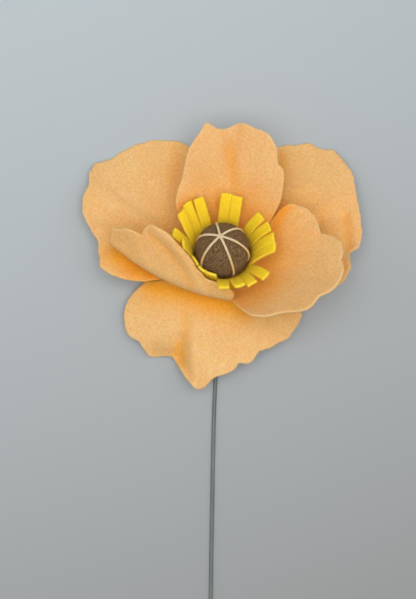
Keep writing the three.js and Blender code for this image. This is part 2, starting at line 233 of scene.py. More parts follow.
def stored(tree, name):
    """The outputs that read what a piece holds under a name."""
    node = tree.nodes.new("ShaderNodeAttribute")
    node.attribute_name = name
    return node.outputs


def raise_relief(tree, shader, height, strength, distance):
    """Fine relief that is this many millimetres deep."""
    relief = add_node(tree, "ShaderNodeBump", Height=height, Strength=strength, Distance=distance * MM)
    feed(tree, shader["Normal"], relief.outputs["Normal"])


def make_wool_mat():
    """Mottled wool: broad clouds, small clumps and fine fibres that lie in three directions."""
    tree, given, end = node_group(
        "Shader", "wool_mat",
        {"Vector": "Vector", "Colour": "Color", "Deep": "Color", "Pale": "Color", "Fibres": "Float"},
        {"Colour": "Color", "Height": "Float", "Roughness": "Float"})
    clouds = ranged(tree, noise_node(tree, given["Vector"], 55, 2), 0.3, 0.7)
    clumps = ranged(tree, noise_node(tree, given["Vector"], 850, 3), 0.32, 0.68)
    first, second, third = (stretched_noise(tree, given["Vector"], turn, 3800, 9)
                            for turn in ((0, 0, 0.3), (0.5, 0.2, 1.35), (-0.4, 0.3, 2.4)))
    highest = math_node(tree, "MAXIMUM", math_node(tree, "MAXIMUM", first, second), third)
    fibres = ranged(tree, highest, 0.52, 0.74)
    ground = math_node(tree, "MULTIPLY_ADD", clouds, 0.3, math_node(tree, "MULTIPLY", clumps, 0.7))
    body = mixed(tree, ground, given["Deep"], given["Colour"])
    lift = math_node(tree, "MULTIPLY", fibres, given["Fibres"])
    feed(tree, end["Colour"], mixed(tree, lift, body, given["Pale"]))
    mounds = math_node(tree, "MULTIPLY", clumps, 0.55)
    feed(tree, end["Height"], math_node(tree, "MULTIPLY_ADD", fibres, 0.45, mounds))
    feed(tree, end["Roughness"], math_node(tree, "MULTIPLY_ADD", fibres, -0.12, 0.97))
    return tree


wool_mat = make_wool_mat()


def wool_material(name, colour, deep, pale, fibres, bump, sheen, glow, edge=None, nook_shade=None, over=None):
    """A wool finish. glow is how far light wanders inside it, edge is the cut edge's colour,
    nook_shade is the tint of painted shade where light passes from felt to felt, and over
    changes its face and relief."""
    made, tree, shader, place = new_material(name)
    wool = tree.nodes.new("ShaderNodeGroup")
    wool.node_tree = wool_mat
    for socket, value in (("Vector", place), ("Colour", (*colour, 1)), ("Deep", (*deep, 1)),
                          ("Pale", (*pale, 1)), ("Fibres", fibres)):
        feed(tree, wool.inputs[socket], value)
    face, height = wool.outputs["Colour"], wool.outputs["Height"]
    if edge:
        cut = math_node(tree, "MULTIPLY", stored(tree, "cut_edge")["Fac"], 0.8)
        face = mixed(tree, cut, face, (*edge, 1))
    if nook_shade:
        face = tinted(tree, stored(tree, "nook_shade")["Fac"], face, nook_shade)
    if over:
        face, height = over(tree, place, face, height)
    for socket, value in (
            ("Base Color", face), ("Roughness", wool.outputs["Roughness"]), ("Specular IOR Level", 0.15),
            ("Sheen Weight", sheen), ("Sheen Roughness", 0.45), ("Sheen Tint", (*pale, 1)),
            ("Subsurface Weight", glow), ("Subsurface Radius", (1.0, 0.45, 0.15)),
            ("Subsurface Scale", 1.5 * MM)):
        feed(tree, shader[socket], value)
    raise_relief(tree, shader, height, 0.7, bump)
    return made


def end_group(tree, shape, given, end):
    """Ends a Geometry Nodes tree: one plain mesh in its material."""
    real = add_node(tree, "GeometryNodeRealizeInstances", Geometry=shape)
    dressed = add_node(tree, "GeometryNodeSetMaterial", Geometry=real.outputs["Geometry"],
                       Material=given["Material"])
    feed(tree, end[0], dressed.outputs["Geometry"])


def make_loose_fibres():
    """Short bent tapered fibres scattered over a surface, most of them lying nearly flat."""
    tree, given, end = node_group(
        "Geometry", "loose_fibres",
        {"Surface": "Geometry", "Density": "Float", "Length": "Float", "Width": "Float",
         "Lean": "Float", "Lean Spread": "Float", "Seed": "Int", "Material": "Material"},
        {"Fibres": "Geometry"})
    share = add_node(tree, "GeometryNodeInputNamedAttribute", Name="fuzz")
    share.data_type = "FLOAT"
    thick = math_node(tree, "MULTIPLY", given["Density"], share.outputs["Attribute"])
    spread = add_node(tree, "GeometryNodeDistributePointsOnFaces", Mesh=given["Surface"],
                      Density=thick, Seed=given["Seed"])
    half = math_node(tree, "MULTIPLY", given["Width"], 0.5)
    fibre = add_node(tree, "GeometryNodeMeshCone", Vertices=3, Side_Segments=2, Radius_Top=0.0,
                     Radius_Bottom=half, Depth=given["Length"])
    place = tree.nodes.new("GeometryNodeInputPosition")
    along = add_node(tree, "ShaderNodeSeparateXYZ", Vector=place.outputs["Position"])
    part = math_node(tree, "DIVIDE", along.outputs["Z"], given["Length"])
    sag = math_node(tree, "MULTIPLY", math_node(tree, "POWER", part, 2), given["Length"])
    shift = add_node(tree, "ShaderNodeCombineXYZ", X=math_node(tree, "MULTIPLY", sag, 0.35))
    bent = add_node(tree, "GeometryNodeSetPosition", Geometry=fibre.outputs["Mesh"],
                    Offset=shift.outputs["Vector"])

    def random(low, high, salt):
        """A random number for each fibre; salt keeps one draw apart from the next."""
        node = tree.nodes.new("FunctionNodeRandomValue")
        node.data_type = "FLOAT"
        for socket, value in zip([each for each in node.inputs if each.type == "VALUE"], (low, high)):
            feed(tree, socket, value)
        feed(tree, node.inputs["Seed"], math_node(tree, "ADD", given["Seed"], salt))
        return [each for each in node.outputs if each.type == "VALUE"][0]

    def turned(rotation, axis, angle):
        """A rotation turned further about one of its own axes."""
        euler = add_node(tree, "ShaderNodeCombineXYZ", **{axis: angle})
        by = add_node(tree, "FunctionNodeEulerToRotation", Euler=euler.outputs["Vector"])
        node = add_node(tree, "FunctionNodeRotateRotation", Rotation=rotation,
                        Rotate_By=by.outputs["Rotation"])
        node.rotation_space = "LOCAL"
        return node.outputs["Rotation"]

    heading = turned(spread.outputs["Rotation"], "Z", random(0.0, 2 * math.pi, 11))
    least = math_node(tree, "SUBTRACT", given["Lean"], given["Lean Spread"])
    most = math_node(tree, "ADD", given["Lean"], given["Lean Spread"])
    pose = turned(turned(heading, "Y", random(least, most, 23)), "Z", random(0.0, 2 * math.pi, 37))
    planted = add_node(tree, "GeometryNodeInstanceOnPoints", Points=spread.outputs["Points"],
                       Instance=bent.outputs["Geometry"], Rotation=pose,
                       Scale=random(0.45, 1.15, 41))
    end_group(tree, planted.outputs["Instances"], given, end)
    return tree


loose_fibres = make_loose_fibres()


def grown(name, mesh, tree, values):
    """The plain mesh object that a Geometry Nodes tree makes from a mesh, which is used up."""
    made = bpy.data.objects.new(name, mesh)
    bpy.context.scene.collection.objects.link(made)
    modifier = made.modifiers.new(name, "NODES")
    modifier.node_group = tree
    identifiers = {item.name: item.identifier for item in tree.interface.items_tree
                   if item.item_type == "SOCKET" and item.in_out == "INPUT"}
    for socket, value in values.items():
        modifier[identifiers[socket]] = value
    graph = bpy.context.evaluated_depsgraph_get()
    result = bpy.data.meshes.new_from_object(made.evaluated_get(graph), depsgraph=graph)
    made.modifiers.clear()
    made.data = result
    bpy.data.meshes.remove(mesh)
    result.name = name
    return made


def set_attribute(piece, name, values):
    """Stores one number for each vertex."""
    attribute = piece.data.attributes.new(name, "FLOAT", "POINT")
    attribute.data.foreach_set("value", np.asarray(values, np.float32))


def fibres_on(piece, look, per_mm2, length, width, lean, lean_spread, seed):
    """The haze of loose fibres on a felt piece, as a piece of its own."""
    fuzz = grown(piece.name + "_fibres", piece.data.copy(), loose_fibres, {
        "Density": float(per_mm2 / MM**2), "Length": length * MM, "Width": width * MM,
        "Lean": math.radians(lean), "Lean Spread": math.radians(lean_spread), "Seed": seed,
        "Material": look})
    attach(fuzz, "root")
    return fuzz


# ------------------------------------------------------------------ petals
# Six petals cut by hand with scissors from one sheet of felt, glued by their roots behind
# the fringe in two layers of three. One is rolled over on itself, the others are cupped.

PETAL_THICKNESS = 1.2
PETAL_ROOT_RADIUS = 4
PETAL_SEAT = 13
SEAT_BEND = 9
SEAT_EASE = 4
PETAL_FLARE = 1.6
INNER_LAYER = -17
OUTER_LAYER = -18.6
PETAL_COLUMNS = 132
PETAL_ROWS = 60
ROW_BEFORE_FOLD = 20
SNIP_DEPTHS = (0.9, 0.4)  # how far the scissors strayed, in long and in short cuts
SNIP_COUNTS = (30, 85)
UNEVEN_HEIGHTS = (0.45, 0.18)  # broad and small unevenness of the pressed felt
UNEVEN_SCALES = (0.09, 0.23)
UNEVEN_GROWTH = 25  # how far past its seat a petal is as uneven as it gets
PLEAT_HEIGHT = 0.9
PLEAT_SCALES = (0.15, 0.02)  # round the head and along the petal
PLEAT_START = 22
PLEAT_GROWTH = 30
LIP_HIGHLIGHT_AND_FUZZ = 0.45  # how much of the cut edge's paler look, a painted highlight, and fuzz a lip gets

# azimuth is a petal's middle, spread and heel are its half widths further out and at the root.
# rise and tip are its slopes by the head and at length, and the lifts steepen its two sides.
# A wave is (azimuth, width, rise, reach at which it starts). A roll turns the petal over a bent
# line. A crease is (depth, width, painted_shade, route), and its painted shade is a deeper orange
# where shade falls in it. At depth 0 it is only painted shadow. A lip, which stands up and has a
# painted highlight that pales it, is (rise, width, route). Both are seen from above the ball's
# centre. painted_shade on its own is painted shade over the whole petal.
# The rim is (azimuth, reach), and flat is the width, length and area of the felt that is cut.
PETALS = [
    dict(name="petal_inner_top", layer=INNER_LAYER, azimuth=90, spread=57, heel=48, length=74,
         rise=58, tip=46, lift_low=0, lift_high=-4, flat=(55, 76, 3250),
         waves=[(84, 6, -3.5, 16), (112, 9, 1.5, 40), (62, 9, 1.5, 40)],
         painted_shade=0.02,
         creases=[(0.9, 3.6, 0.55, [(3.5, 52), (5, 43.5), (7, 33.5), (8, 24.5)])],
         rim=[(34, 34), (36, 41), (38, 47), (44, 55), (48, 60), (54, 62), (58, 68), (65, 72), (74, 74),
              (82, 76), (91, 72), (98, 75), (103, 70), (110, 64), (115, 57), (121, 50), (128, 45),
              (135, 39), (140, 26)]),
    dict(name="petal_inner_left", layer=INNER_LAYER, azimuth=215, spread=65, heel=48, length=72,
         rise=14, tip=16, lift_low=14, lift_high=0, flat=(54, 69, 2850),
         roll=dict(toward=249, at=15.2, bow=0.0035, bow_centre=-16, angle=118, radius=8),
         waves=[], painted_shade=0.18,
         lips=[(1.3, 2.2, [(-33, 9.5), (-26.5, 4), (-20, -3), (-16, -9.5), (-13, -16), (-9.5, -22)])],
         creases=[(2, 5, 0.1, [(-57, 8), (-50, 3)]),
                  (0.8, 2.5, 0.3, [(-35.5, 7.5), (-29, 1.5), (-22.5, -5), (-18.5, -11), (-15.5, -17.5)])],
         rim=[(150, 22), (153, 30), (158, 40), (166, 47.5), (173, 52.5), (180.5, 56.5), (189, 59.8),
              (195.8, 59.2), (202, 58.4), (207.5, 56), (213, 59.5), (218, 61.2), (224.6, 58.8),
              (228.8, 53.6), (235.3, 46.4), (238.6, 40.4), (242, 36.8), (246.6, 34.3), (253.8, 32.7),
              (263, 30.8), (272, 29), (276.5, 25), (277.5, 19)]),
    dict(name="petal_inner_right", layer=INNER_LAYER, azimuth=345, spread=58, heel=45, length=72,
         rise=42, tip=32, lift_low=2, lift_high=2, flat=(63, 63, 3200),
         waves=[(365, 8, -1.5, 40), (330, 10, 1.5, 40)], painted_shade=0.06,
         creases=[(0, 5, 0.8, [(33, 24), (29, 17), (27, 10)]),
                  (0, 6, 0.7, [(8, -24), (17, -20), (26, -16)])],
         rim=[(283, 22), (287, 34), (291, 42), (298, 48), (308, 53), (316, 62), (325, 63), (331, 68),
              (341, 69), (348, 66), (355, 66), (361, 62), (366, 55), (374, 54), (382, 53), (390, 49),
              (395, 46), (397, 41)]),
    dict(name="petal_outer_left", layer=OUTER_LAYER, azimuth=152, spread=45, heel=46, length=80,
         rise=13, tip=13, lift_low=10, lift_high=0, flat=(71, 77, 4500),
         waves=[(150, 10, 2, 40), (172, 8, -2, 40)],
         painted_shade=0.0,
         creases=[(0.4, 5, 0.35, [(-22.8, 56), (-25.8, 39), (-27, 26), (-26, 13)]),
                  (0, 8, 1, [(-54, -2), (-45, -9), (-34.5, -12.5)])],
         rim=[(98, 34), (101, 52), (106, 63), (112, 69), (120, 74), (128, 77), (137, 79), (142, 82),
              (146, 82), (151, 78), (159, 76), (165, 70), (171, 63), (178, 61), (185, 59.5), (189, 55),
              (193, 47), (196, 38)]),
    dict(name="petal_outer_right", layer=OUTER_LAYER, azimuth=24, spread=45, heel=46, length=80,
         rise=19, tip=13, lift_low=5, lift_high=3, flat=(70, 86, 4650),
         waves=[(6, 7, -3, 50), (30, 10, 2, 40)],
         painted_shade=0.05,
         creases=[(0.3, 4, 0.5, [(31.5, 50), (32.5, 38), (30, 28), (28, 19.5)]),
                  (3, 2.8, 0.45, [(64, 18), (65.5, 9), (65, 0)])],
         rim=[(-22, 34), (-19, 58), (-10, 64), (0, 64), (3, 69), (8, 71), (14, 72.5), (22, 74.5), (30, 78),
              (37, 81), (44, 82), (48, 79), (54, 77), (60, 71), (65, 67), (71, 58), (75, 46), (76, 30)]),
    dict(name="petal_outer_bottom", layer=OUTER_LAYER, azimuth=261, spread=60, heel=50, length=68,
         rise=-26, tip=-32, lift_low=10, lift_high=5, flat=(86, 62, 3750),
         waves=[(231, 9, -4, 36), (252, 9, 4, 30), (285, 10, 1.5, 36)],
         painted_shade=0.0,
         creases=[(7, 7, 0.1, [(-32.5, -57), (-25, -57)]),
                  (2.6, 3.4, 0.05, [(-22, -46), (-21, -55), (-18, -66)]),
                  (0.5, 3, 0.5, [(-19, -27), (-18.5, -38.5), (-19, -49)]),
                  (0, 9, 1, [(-36, -18), (-22, -20), (-3.5, -26), (10, -29)]),
                  (-1, 3, 0, [(-13.7, -31), (-15.3, -47), (-13, -65)])],
         rim=[(190, 38), (198, 50), (205, 55), (213, 58), (220, 56), (228, 57), (237, 52), (244, 54),
              (252, 61), (259, 64), (266, 56), (275, 53), (281, 49), (287, 50), (295, 46), (306, 47),
              (316, 48), (327, 47), (332, 46)]),
]


def smooth(x):
    """An even start and stop between 0 and 1."""
    x = np.clip(x, 0, 1)
    return x * x * (3 - 2 * x)


def along_list(points, places):
    """A smooth curve through a list of points, read at places from 0 to 1 along the list."""
    points = np.array(points, float)
    last = len(points) - 1
    index = np.minimum((places * last).astype(int), last - 1)
    t = (places * last - index)[:, None]
    p0, p1, p2, p3 = (points[np.clip(index + step, 0, last)] for step in (-1, 0, 1, 2))
    return 0.5 * (2 * p1 + (p2 - p0) * t + (2 * p0 - 5 * p1 + 4 * p2 - p3) * t**2
                  + (3 * p1 - p0 - 3 * p2 + p3) * t**3)


def petal_profile(petal, azimuth, reach, steps=24):
    """How far out from the axis, and how high, a petal is at each azimuth and reach."""
    across = (azimuth - petal["azimuth"]) / petal["spread"]
    lift = np.where(across > 0, petal["lift_high"], petal["lift_low"]) * across**2
    out = np.full(np.shape(azimuth), float(PETAL_ROOT_RADIUS))
    height = np.full(np.shape(azimuth), float(petal["layer"]))
    for step in range(steps):
        at = (step + 0.5) * reach / steps
        along = np.maximum((at - PETAL_SEAT) / (petal["length"] - PETAL_SEAT), 0)
        slope = petal["rise"] + (petal["tip"] - petal["rise"]) * along + lift
        slope = np.radians(slope * smooth((at - PETAL_SEAT + SEAT_EASE) / SEAT_BEND))
        out = out + np.cos(slope) * reach / steps
        height = height + np.sin(slope) * reach / steps
    for centre, width, rise, start in petal["waves"]:
        strength = smooth((reach - start) / (petal["length"] - start))
        height = height + rise * strength * np.exp(-(((azimuth - centre) / width) ** 2))
    return out, height


def petal_surface(petal, azimuth, reach):
    """The middle of a petal's felt, in the head's frame."""
    out, height = petal_profile(petal, azimuth, reach)
    x, y = out * np.cos(np.radians(azimuth)), out * np.sin(np.radians(azimuth))
    roll = petal.get("roll")
    if not roll:
        return np.stack([x, y, height], -1)
    facing_x, facing_y = math.cos(math.radians(roll["toward"])), math.sin(math.radians(roll["toward"]))
    sideways = x * facing_y - y * facing_x + roll["bow_centre"]
    beyond = np.maximum(x * facing_x + y * facing_y - roll["at"] + roll["bow"] * sideways**2, 0)
    full = math.radians(roll["angle"])
    turn = np.minimum(beyond / roll["radius"], full)
    rest = np.maximum(beyond - roll["radius"] * full, 0)
    foot = roll["radius"] * np.sin(turn) + rest * np.cos(turn)
    lift = roll["radius"] * (1 - np.cos(turn)) + rest * np.sin(turn)
    x, y = x + facing_x * (foot - beyond), y + facing_y * (foot - beyond)
    foot_azimuth = np.degrees(np.arctan2(y, x)) % 360
    foot_reach = np.maximum(np.hypot(x, y) - PETAL_ROOT_RADIUS, 0) / math.cos(math.radians(petal["rise"]))
    foot_height = petal_profile(petal, foot_azimuth, foot_reach)[1]
    return np.stack([x, y, np.where(beyond > 0, foot_height + lift, height)], -1)


def crease_strength(points, route, width):
    """How near points, seen from above the flower, are to a crease's route: 1 on it, 0 away."""
    nearest = np.full(points.shape[:-1], np.inf)
    seen = points[..., :2] - HEAD_CENTRE[:2]
    for start, end in zip(np.array(route, float), np.array(route[1:], float)):
        part = np.clip((seen - start) @ (end - start) / ((end - start) @ (end - start)), 0, 1)
        nearest = np.minimum(nearest, np.linalg.norm(seen - start - part[..., None] * (end - start), axis=-1))
    return np.exp(-((nearest / width) ** 2))


def unit(vectors):
    """The vectors' directions."""
    return vectors / np.maximum(np.linalg.norm(vectors, axis=-1, keepdims=True), 1e-9)


def grid_quads(columns, rows):
    """The quads of a grid of points that is numbered row by row within each column."""
    corners = (np.arange(columns - 1)[:, None] * rows + np.arange(rows - 1)[None]).ravel()
    return np.stack([corners, corners + rows, corners + rows + 1, corners + 1], -1)


EDGE_BULGE, EDGE_RAGGED = 0.24, 0.16  # parts of the felt's thickness
EDGE_RAGGED_SCALE = 1.7
BESIDE_EDGE = 0.45  # how much of the cut edge's look the face beside it has
EDGE_FUZZ = 7  # how many times more loose fibres a cut edge has than a face
FUZZ_FREE_HEIGHT = 2.2  # felt lower than this has no loose fibres, which would reach the floor


def felt_sheet(name, middle, quads, thickness, look, edge_width=1.6, highlight_and_fuzz=0):
    """A felt sheet round its mid-points, with two faces and a rounded, slightly ragged cut edge.

    Its vertices are those of one face, of the other, and of the edge beside the returned ones.
    highlight_and_fuzz says where its face is as pale as the edge, a painted highlight, and as fuzzy.
    """
    count = len(middle)
    normals = np.zeros((count, 3))
    turned = np.cross(middle[quads[:, 2]] - middle[quads[:, 0]], middle[quads[:, 3]] - middle[quads[:, 1]])
    for corner in range(4):
        np.add.at(normals, quads[:, corner], turned)
    normals = unit(normals)
    edges = np.concatenate([quads[:, [k, (k + 1) % 4]] for k in range(4)])
    keys, back = edges[:, 0] * count + edges[:, 1], edges[:, 1] * count + edges[:, 0]
    border = edges[~np.isin(keys, back)]
    outward = np.zeros((count, 3))
    run = unit(middle[border[:, 1]] - middle[border[:, 0]])
    for end in (0, 1):
        np.add.at(outward, border[:, end], np.cross(run, normals[border[:, end]]))
    edge_points = border[:, 0]
    ragged = np.array([noise.noise(Vector(point) * EDGE_RAGGED_SCALE)
                       for point in middle[edge_points]])[:, None]
    bulge = thickness * (EDGE_BULGE + EDGE_RAGGED * ragged)
    rim = middle[edge_points] + unit(outward[edge_points]) * bulge
    points = np.concatenate([middle + normals * thickness / 2, middle - normals * thickness / 2, rim])
    points[:, 2] = np.maximum(points[:, 2], 0)
    place = dict(zip(edge_points.tolist(), range(2 * count, 2 * count + len(rim))))
    faces = quads.tolist() + (quads[:, ::-1] + count).tolist()
    for a, b in border.tolist():
        faces.append((b, a, place[a], place[b]))
        faces.append((place[b], place[a], a + count, b + count))
    piece = mesh_object(name, points, faces, look)
    cut_line = middle[edge_points][None, ::2]
    far = np.concatenate([np.min(np.linalg.norm(part[:, None] - cut_line, axis=2), axis=1)
                          for part in np.array_split(middle, 16)])
    near_edge = np.maximum(BESIDE_EDGE - BESIDE_EDGE * smooth(far / edge_width), highlight_and_fuzz)
    cut = np.concatenate([near_edge, near_edge, np.ones(len(rim))])
    set_attribute(piece, "cut_edge", cut)
    set_attribute(piece, "fuzz", np.where(points[:, 2] < FUZZ_FREE_HEIGHT, 0, 1 + EDGE_FUZZ * cut))
    return piece, edge_points


# Painted shade: where petals shut each other in, their colour is multiplied by this deeper orange.
PAINTED_NOOK_SHADE = (1.0, 0.74, 0.14)  # light caught between orange petals comes out a deeper orange
petal_felt = wool_material(
    "petal_felt", colour=(0.985, 0.63, 0.285), deep=(0.865, 0.433, 0.132), pale=(0.98, 0.71, 0.39),
    fibres=0.45, bump=0.45, sheen=0.2, glow=0.6, edge=(0.96, 0.68, 0.36), nook_shade=PAINTED_NOOK_SHADE)
petal_haze = wool_material(
    "petal_fibres", colour=(0.93, 0.55, 0.22), deep=(0.9, 0.5, 0.18), pale=(0.97, 0.68, 0.36),
    fibres=0.3, bump=0.02, sheen=0.3, glow=0.0, nook_shade=PAINTED_NOOK_SHADE)

# Rays find how shut in by felt each point of a petal is, which sets how much painted shade it gets.
NOOK_REACH = 45
NOOK_START = 0.5  # a ray starts this far off the felt
NOOK_SKIP = 3.5  # nearer than this, it is the sheet itself
NOOK_RAYS = 48
NOOK_STEP = 4  # columns and rows from one measured point to the next
NOOK_FULL = 0.6  # as shut in as it gets
NOOK_DEEPEST = 0.7


def tree_of_solids():
    """All the solids in one tree, for finding how they shut each other in."""
    points, faces = [], []
    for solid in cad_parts.values():
        first = len(points)
        points += [vertex.co for vertex in solid.data.vertices]
        faces += [[first + corner for corner in face.vertices] for face in solid.data.polygons]
    return BVHTree.FromPolygons(points, faces)


def spread_rays():
    """Directions spread over a half ball about Z, closest together near Z."""
    turns = np.arange(NOOK_RAYS) * math.pi * (3 - math.sqrt(5))
    out = np.sqrt((np.arange(NOOK_RAYS) + 0.5) / NOOK_RAYS)
    return [Vector((r * math.cos(turn), r * math.sin(turn), math.sqrt(1 - r * r)))
            for r, turn in zip(out, turns)]


solids = tree_of_solids()
rays = spread_rays()


def nookiness(vertex):
    """How far the space over a vertex is shut in by the felt round it, from 0 to 1."""
    turn = vertex.normal.to_track_quat("Z", "Y")
    start = vertex.co + vertex.normal * NOOK_START * MM
    total = 0
    for ray in rays:
        distance = solids.ray_cast(start, turn @ ray, NOOK_REACH * MM)[3]
        if distance is not None and distance > NOOK_SKIP * MM:
            total += 1 - distance / (NOOK_REACH * MM)
    return total / NOOK_RAYS


def grid_nooks(piece, shape):
    """nookiness over both faces of a sheet, worked out on every few columns and rows."""
    columns, rows = (np.arange(0, count, NOOK_STEP) for count in shape)
    faces = []
    for face in (0, 1):
        index = face * shape[0] * shape[1] + columns[:, None] * shape[1] + rows[None]
        measured = [nookiness(piece.data.vertices[int(place)]) for place in index.ravel()]
        coarse = np.array(measured).reshape(index.shape)
        wide = np.array([np.interp(np.arange(shape[1]), rows, line) for line in coarse])
        faces.append(np.array([np.interp(np.arange(shape[0]), columns, line) for line in wide.T]).T)
    return faces


def rough(points, scale, seed=0):
    """Noise at each of some points, which keep their array's shape."""
    flat = points.reshape(-1, 3) * scale + (0, seed, 0)
    return np.array([noise.noise(Vector(point)) for point in flat]).reshape(points.shape[:-1])


def petal_shape(petal, seed):
    """The middle of a petal's felt, with its hand-cut rim and the creases and lips of its shaping.

    With it come how much painted shade each point gets, a deeper orange in creases and painted
    shadow, and how much painted highlight, with extra fuzz, its lips get.
    """
    across, along = np.linspace(0, 1, PETAL_COLUMNS + 1), np.linspace(0, 1, PETAL_ROWS + 1)
    rim = along_list(petal["rim"], across)
    snips = np.array([SNIP_DEPTHS[0] * noise.noise(Vector((place * SNIP_COUNTS[0], seed * 3.7, 0)))
                      + SNIP_DEPTHS[1] * noise.noise(Vector((place * SNIP_COUNTS[1], seed * 5.1, 3)))
                      for place in across])
    rim_reach = rim[:, 1] + snips * np.sin(math.pi * across) ** 0.5
    root = petal["azimuth"] + (2 * across - 1) * petal["heel"]
    flare = 1 - (1 - along) ** PETAL_FLARE
    azimuth = root[:, None] + (rim[:, 0] - root)[:, None] * flare[None]
    reach = rim_reach[:, None] * along[None]
    grid = from_head(petal_surface(petal, azimuth, reach))
    uneven = (UNEVEN_HEIGHTS[0] * rough(grid, UNEVEN_SCALES[0])
              + UNEVEN_HEIGHTS[1] * rough(grid, UNEVEN_SCALES[1]))
    round_and_along = np.stack([azimuth * PLEAT_SCALES[0], 0 * reach, reach * PLEAT_SCALES[1]], -1)
    pleats = PLEAT_HEIGHT * rough(round_and_along, 1, seed * 2.3)
    free = smooth((reach - PETAL_SEAT) / UNEVEN_GROWTH)
    grid[..., 2] += uneven * free + pleats * smooth((reach - PLEAT_START) / PLEAT_GROWTH)
    facing = np.cross(np.gradient(grid, axis=0), np.gradient(grid, axis=1))[..., 2]
    top = np.where(facing * facing[:, ROW_BEFORE_FOLD].mean() < 0, 1, 0) if "roll" in petal else 1
    painted_crease_shade, highlight_and_fuzz = np.zeros(reach.shape), np.zeros(reach.shape)
    # A crease sinks the felt and tints it with painted shade.
    for depth, width, tint, route in petal["creases"]:
        strength = crease_strength(grid, route, width) * top
        grid[..., 2] -= depth * strength * free
        painted_crease_shade = np.maximum(painted_crease_shade, tint * strength)
    # A lip stands up and gets a painted highlight, the cut edge's paler look, with extra loose fibres.
    for rise, width, route in petal.get("lips", []):
        strength = crease_strength(grid, route, width) * top
        grid[..., 2] += rise * strength
        highlight_and_fuzz = np.maximum(highlight_and_fuzz, LIP_HIGHLIGHT_AND_FUZZ * strength)
    grid[..., 2] = np.maximum(grid[..., 2], PETAL_THICKNESS / 2)
    return grid, painted_crease_shade, highlight_and_fuzz


def make_petal(petal, seed):
    """One petal of felt, with painted shade tinting it where it stands close to others, and its haze."""
    grid, painted_crease_shade, highlight_and_fuzz = petal_shape(petal, seed)
    shape = grid.shape[:2]
    piece, edge = felt_sheet(petal["name"] + "_felt", grid.reshape(-1, 3), grid_quads(*shape),
                             PETAL_THICKNESS, petal_felt, highlight_and_fuzz=highlight_and_fuzz.ravel())
    # Painted shade comes from how shut in each face is, from the creases, and from painted_shade over the
    # whole petal.
    shaded = [np.maximum(np.minimum(face / NOOK_FULL, NOOK_DEEPEST), painted_crease_shade).ravel()
              for face in grid_nooks(piece, shape)]
    nooks = [np.clip(face + petal["painted_shade"], 0, 1) for face in shaded]
    set_attribute(piece, "nook_shade", np.concatenate([*nooks, (nooks[0] + nooks[1])[edge] / 2]))
    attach(piece, "root")
    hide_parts(petal["name"])
    haze = fibres_on(piece, petal_haze, per_mm2=0.55, length=1.7, width=0.05, lean=70,
                     lean_spread=18, seed=seed)


for number, petal in enumerate(PETALS):
    make_petal(petal, seed=number + 1)

# ------------------------------------------------------------------ wool ball
# The poppy's dark middle: brown wool needle-felted into a hard ball, with tan flecks, tiny
# pits where the needle went in and a fuzzy outline. The wound thread is pressed into it.

BALL_RADIUS = 14
BALL_AROUND = 220
BALL_DOWN = 130
THREAD_PATH_RADIUS = 13.9
THREAD_POLE = unit(np.array((-0.083, 0.054, 0.995)))  # where all strands cross
THREAD_AZIMUTHS = [102, 40, -15, -66, -140, 160]
THREAD_ANGLES = (-5, 163)  # each strand runs from the pole nearly to its opposite
FURROW_RADIUS = 0.82
PRESSED = 0.4  # how far the wool sinks along a strand
PRESSED_WIDTH = 1.7
LUMP_HEIGHTS = (0.22, 0.13)  # broad and small lumps
LUMP_SCALES = (2.6, 9)
LUMPS_LOWERED = 0.1  # keeps most of them inside the ball's radius
SMOOTHED_DOWN = 0.9  # this near a strand's middle no fibre stands up
SMOOTHED_EDGE = 0.8


def across_pole():
    """Two directions at right angles to the pole, to the right and up as the flower is seen."""
    sideways = unit(np.cross((0, 1, 0), THREAD_POLE))
    return sideways, np.cross(THREAD_POLE, sideways)


def strand_heading(azimuth):
    """The direction in which a strand leaves the pole."""
    sideways, upwards = across_pole()
    return sideways * math.cos(math.radians(azimuth)) + upwards * math.sin(math.radians(azimuth))


def strand_distance(points, azimuth):
    """How far points on the ball's surface are from one strand's route."""
    heading = strand_heading(azimuth)
    side = np.cross(THREAD_POLE, heading)
    along = np.degrees(np.arctan2(points @ heading, points @ THREAD_POLE))
    beside = np.abs(points @ side)
    low, high = THREAD_ANGLES
    past = np.maximum(np.maximum(low - along, along - high), 0)
    return np.hypot(beside, np.radians(past) * BALL_RADIUS)


